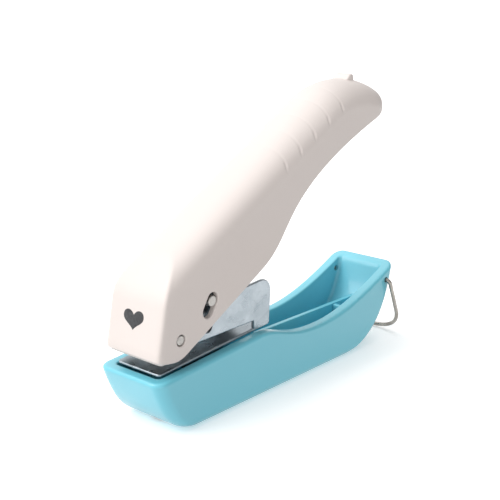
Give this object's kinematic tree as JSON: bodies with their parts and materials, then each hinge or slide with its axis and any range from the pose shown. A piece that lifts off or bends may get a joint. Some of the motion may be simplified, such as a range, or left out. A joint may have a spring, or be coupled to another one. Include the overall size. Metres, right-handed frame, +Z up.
{
  "type": "craft punch",
  "caption": "Hand-held craft punch: boat-shaped plastic tray, steel die frame with a heart-shaped punch, arched lever handle and a wire bail on the tail.",
  "frame": {"origin": "middle of the tray's length and width, on its flat underside", "axes": "+X from the punch head towards the tail and the handle's tip, +Y to the left seen from the head looking to the tail, +Z up"},
  "size_m": [0.1308, 0.033, 0.102],
  "materials": {
    "tray_plastic": "semi-gloss light blue moulded plastic",
    "shell_plastic": "satin warm cream moulded plastic",
    "zinc_sheet": "bright zinc-plated sheet steel",
    "tool_steel": "ground hardened steel",
    "steel_pins": "plain turned steel",
    "spring_wire": "drawn bright wire"
  },
  "bodies": {
    "base": {"base_tray": "tray_plastic", "die_frame": "zinc_sheet", "die_block": "tool_steel", "die_rivet_front": "steel_pins", "die_rivet_rear": "steel_pins", "frame_screw_front": "steel_pins", "frame_screw_rear": "steel_pins", "punch_guide": "zinc_sheet", "pivot_pin": "steel_pins", "pivot_bush": "steel_pins", "return_spring": "spring_wire"},
    "handle": {"handle_shell": "shell_plastic", "handle_lever": "zinc_sheet", "lever_screw_front": "steel_pins", "lever_screw_rear": "steel_pins"},
    "punch": {"punch": "tool_steel", "drive_pin": "steel_pins"},
    "bail": {"wire_bail": "spring_wire"}
  },
  "joints": [
    {"name": "handle_hinge", "type": "hinge", "parent": "base", "child": "handle", "pos_m": [-0.0514, 0, 0.0298], "axis": [0, 1, 0], "range_deg": [0, 28], "stiffness_Nm_per_rad": 0.25, "springref_deg": -22.92, "deforming": ["return_spring"]},
    {"name": "punch_slide", "type": "slide", "parent": "base", "child": "punch", "axis": [0, 0, -1], "range_m": [0, 0.0091]},
    {"name": "bail_hinge", "type": "hinge", "parent": "base", "child": "bail", "pos_m": [0.0573, 0, 0.0237], "axis": [0, -1, 0], "range_deg": [0, 119]}
  ],
  "couplings": [
    {"joint": "punch_slide", "follows": "handle_hinge", "m_per_rad": 0.0185}
  ]
}
